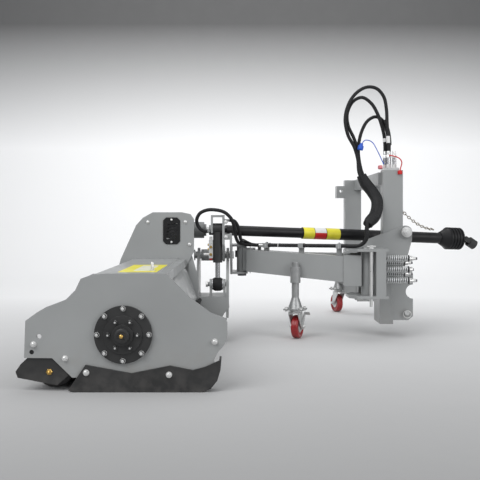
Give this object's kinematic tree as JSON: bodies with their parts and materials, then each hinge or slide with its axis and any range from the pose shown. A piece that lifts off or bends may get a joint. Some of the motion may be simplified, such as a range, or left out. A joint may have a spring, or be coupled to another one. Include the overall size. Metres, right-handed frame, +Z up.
{
  "type": "flail mower",
  "caption": "Offset flail mower that swings and tilts on a tractor headstock, with skids, rear roller, rotor and flails, hydraulic hoses, drive shaft and support wheels.",
  "frame": {"origin": "on the ground under the middle of the whole machine's box", "axes": "+X along the travel direction, +Y from the mowing deck towards the tractor's far side, +Z up"},
  "size_m": [2.3346, 2.3984, 1.4053],
  "materials": {
    "grey_paint": "semi-gloss",
    "black_paint": "semi-gloss",
    "black_plastic": "matte",
    "black_rubber": "matte",
    "hose_rubber": "satin",
    "dark_steel": "matte",
    "zinc": "satin",
    "spring_paint": "satin",
    "red_tyre": "matte"
  },
  "bodies": {
    "headstock": {"headstock": "grey_paint", "hitch_plates": "grey_paint", "swing_bracket": "grey_paint", "swing_pin": "zinc", "link_pins": "zinc", "safety_chain": "zinc", "couplers": "zinc", "far_stand": "grey_paint", "hose_loop_1": "hose_rubber", "hose_loop_2": "hose_rubber", "hose_loop_3": "hose_rubber"},
    "lock_pin": {"lock_pin": "zinc"},
    "breakaway": {"spring_rods": "zinc", "near_springs": "spring_paint", "far_springs": "spring_paint"},
    "arm": {"swing_arm": "grey_paint", "arm_hoses": "hose_rubber", "hose_clamps": "black_paint", "near_stand": "grey_paint", "rear_pivot_pin": "dark_steel"},
    "near_fork": {"near_fork": "zinc"},
    "near_wheel": {"near_wheel": "red_tyre"},
    "near_brake": {"near_brake": "zinc"},
    "far_fork": {"far_fork": "zinc"},
    "far_wheel": {"far_wheel": "red_tyre"},
    "parallel_link": {"parallel_link": "grey_paint"},
    "shift_barrel": {"shift_barrel": "black_paint"},
    "shift_rod": {"shift_rod": "zinc"},
    "carriage": {"carriage": "grey_paint", "tail_hose_1": "hose_rubber", "tail_hose_2": "hose_rubber"},
    "tilt_barrel": {"tilt_barrel": "grey_paint", "valve_block": "zinc"},
    "tilt_rod": {"tilt_rod": "zinc"},
    "deck": {"deck_shell": "grey_paint", "deck_mount": "grey_paint", "rotor_bearings": "black_paint", "skids": "black_paint", "roller_brackets": "black_paint", "flap_rod": "zinc", "rear_flap": "black_rubber", "belt_case": "grey_paint", "vent_panel": "black_plastic", "drive_belt": "black_rubber", "gearbox": "grey_paint", "tilt_shaft": "zinc"},
    "roller": {"roller": "black_paint"},
    "rotor": {"rotor": "dark_steel", "flail_pins": "dark_steel", "lower_pulley": "dark_steel"},
    "flails_1": {"flail_row_1": "dark_steel"},
    "flails_2": {"flail_row_2": "dark_steel"},
    "flails_3": {"flail_row_3": "dark_steel"},
    "flails_4": {"flail_row_4": "dark_steel"},
    "front_flaps": {"front_flaps": "black_rubber"},
    "upper_pulley": {"upper_pulley": "dark_steel"},
    "input_shaft": {"input_shaft": "zinc"},
    "shaft_collar": {"shaft_collar": "dark_steel"},
    "rear_guard": {"rear_guard": "black_plastic"},
    "front_guard": {"front_guard": "black_plastic"},
    "tractor_yoke": {"tractor_yoke": "zinc"}
  },
  "joints": [
    {"name": "swing", "type": "hinge", "parent": "headstock", "child": "arm", "pos_m": [0.37667, -0.01325, 0.364], "axis": [0, 0, 1], "range_deg": [-12, 20], "deforming": ["tail_hose_1", "tail_hose_2"]},
    {"name": "carriage_turn", "type": "hinge", "parent": "arm", "child": "carriage", "pos_m": [-0.30026, 0.18727, 0.43], "axis": [0, 0, 1], "range_deg": [-21, 13]},
    {"name": "link_turn", "type": "hinge", "parent": "headstock", "child": "parallel_link", "pos_m": [0.35667, 0.08675, 0.452], "axis": [0, 0, 1], "range_deg": [-13, 21]},
    {"name": "shift_barrel_turn", "type": "hinge", "parent": "headstock", "child": "shift_barrel", "pos_m": [0.44683, 0.21627, 0.372], "axis": [0, 0, 1], "range_deg": [-7, 11]},
    {"name": "shift_rod_turn", "type": "hinge", "parent": "arm", "child": "shift_rod", "pos_m": [0.17936, 0.12342, 0.372], "axis": [0, 0, 1], "range_deg": [-11, 7]},
    {"name": "tilt", "type": "hinge", "parent": "carriage", "child": "deck", "pos_m": [-0.37933, 0.09675, 0.455], "axis": [-1, 0, 0], "range_deg": [-20, 30]},
    {"name": "tilt_barrel_turn", "type": "hinge", "parent": "carriage", "child": "tilt_barrel", "pos_m": [-0.43184, -0.03525, 0.605], "axis": [-1, 0, 0], "range_deg": [-11, 16]},
    {"name": "tilt_rod_turn", "type": "hinge", "parent": "deck", "child": "tilt_rod", "pos_m": [-0.43184, -0.03525, 0.305], "axis": [-1, 0, 0], "range_deg": [-16, 11]},
    {"name": "lock_pin_lift", "type": "slide", "parent": "headstock", "child": "lock_pin", "axis": [0, 0, 1], "range_m": [0, 0.3]},
    {"name": "breakaway_slide", "type": "slide", "parent": "headstock", "child": "breakaway", "axis": [-1, 0, 0], "range_m": [0, 0.018], "stiffness_N_per_m": 40000, "deforming": ["near_springs", "far_springs"]},
    {"name": "near_swivel", "type": "hinge", "parent": "arm", "child": "near_fork", "pos_m": [-0.00906, 0.01549, 0.15], "axis": [0, 0, 1], "continuous": true},
    {"name": "near_wheel_spin", "type": "hinge", "parent": "near_fork", "child": "near_wheel", "pos_m": [0.00443, 0.04887, 0.064], "axis": [0.9272, -0.3746, 0], "continuous": true},
    {"name": "near_brake_press", "type": "hinge", "parent": "near_fork", "child": "near_brake", "pos_m": [0.00443, 0.04887, 0.064], "axis": [0.9272, -0.3746, 0], "range_deg": [-4, 8]},
    {"name": "far_swivel", "type": "hinge", "parent": "headstock", "child": "far_fork", "pos_m": [0.38266, 1.10025, 0.15], "axis": [0, 0, 1], "continuous": true},
    {"name": "far_wheel_spin", "type": "hinge", "parent": "far_fork", "child": "far_wheel", "pos_m": [0.37154, 1.13449, 0.064], "axis": [0.9511, 0.309, 0], "continuous": true},
    {"name": "roller_spin", "type": "hinge", "parent": "deck", "child": "roller", "pos_m": [-1.03733, -0.60325, 0.075], "axis": [0, 1, 0], "continuous": true},
    {"name": "rotor_spin", "type": "hinge", "parent": "deck", "child": "rotor", "pos_m": [-0.75433, -0.60325, 0.219], "axis": [0, 1, 0], "continuous": true},
    {"name": "flails_1_swing", "type": "hinge", "parent": "rotor", "child": "flails_1", "pos_m": [-0.68362, -0.60325, 0.28971], "axis": [0, 1, 0], "range_deg": [-120, 0]},
    {"name": "flails_2_swing", "type": "hinge", "parent": "rotor", "child": "flails_2", "pos_m": [-0.82505, -0.60325, 0.28971], "axis": [0, 1, 0], "range_deg": [0, 120]},
    {"name": "flails_3_swing", "type": "hinge", "parent": "rotor", "child": "flails_3", "pos_m": [-0.82505, -0.60325, 0.14829], "axis": [0, 1, 0], "range_deg": [-35, 90]},
    {"name": "flails_4_swing", "type": "hinge", "parent": "rotor", "child": "flails_4", "pos_m": [-0.68362, -0.60325, 0.14829], "axis": [0, 1, 0], "range_deg": [-90, 35]},
    {"name": "front_flaps_swing", "type": "hinge", "parent": "deck", "child": "front_flaps", "pos_m": [-0.52533, -0.60325, 0.224], "axis": [0, 1, 0], "range_deg": [-60, 15]},
    {"name": "upper_pulley_spin", "type": "hinge", "parent": "deck", "child": "upper_pulley", "pos_m": [-0.67734, -0.00325, 0.594], "axis": [0, 1, 0], "continuous": true},
    {"name": "input_shaft_spin", "type": "hinge", "parent": "deck", "child": "input_shaft", "pos_m": [-0.51133, 0.09675, 0.594], "axis": [-1, 0, 0], "continuous": true},
    {"name": "collar_turn", "type": "hinge", "parent": "deck", "child": "shaft_collar", "pos_m": [-0.42134, 0.09675, 0.594], "axis": [-1, 0, 0], "range_deg": [-31, 21]},
    {"name": "shaft_yaw", "type": "hinge", "parent": "shaft_collar", "child": "rear_guard", "pos_m": [-0.42134, 0.09675, 0.594], "axis": [0, 0, 1], "range_deg": [-6, 9]},
    {"name": "shaft_slide", "type": "slide", "parent": "rear_guard", "child": "front_guard", "axis": [0.958, 0.2838, -0.0401], "range_m": [-0.08, 0.135]},
    {"name": "yoke_lift", "type": "hinge", "parent": "front_guard", "child": "tractor_yoke", "pos_m": [1.08759, 0.54372, 0.53079], "axis": [0.284, -0.9588, 0], "range_deg": [0, 45]}
  ],
  "couplings": [
    {"joint": "carriage_turn", "follows": "swing", "ratio": -1},
    {"joint": "link_turn", "follows": "swing", "ratio": 1},
    {"joint": "shift_barrel_turn", "follows": "swing", "ratio": 0.5},
    {"joint": "shift_rod_turn", "follows": "swing", "ratio": -0.5},
    {"joint": "shaft_yaw", "follows": "swing", "ratio": 0.385},
    {"joint": "shaft_slide", "follows": "swing", "m_per_rad": 0.36},
    {"joint": "tilt_barrel_turn", "follows": "tilt", "ratio": 0.5},
    {"joint": "tilt_rod_turn", "follows": "tilt", "ratio": -0.5},
    {"joint": "collar_turn", "follows": "tilt", "ratio": -1},
    {"joint": "upper_pulley_spin", "follows": "rotor_spin", "ratio": 0.89744},
    {"joint": "input_shaft_spin", "follows": "rotor_spin", "ratio": 0.89744}
  ]
}
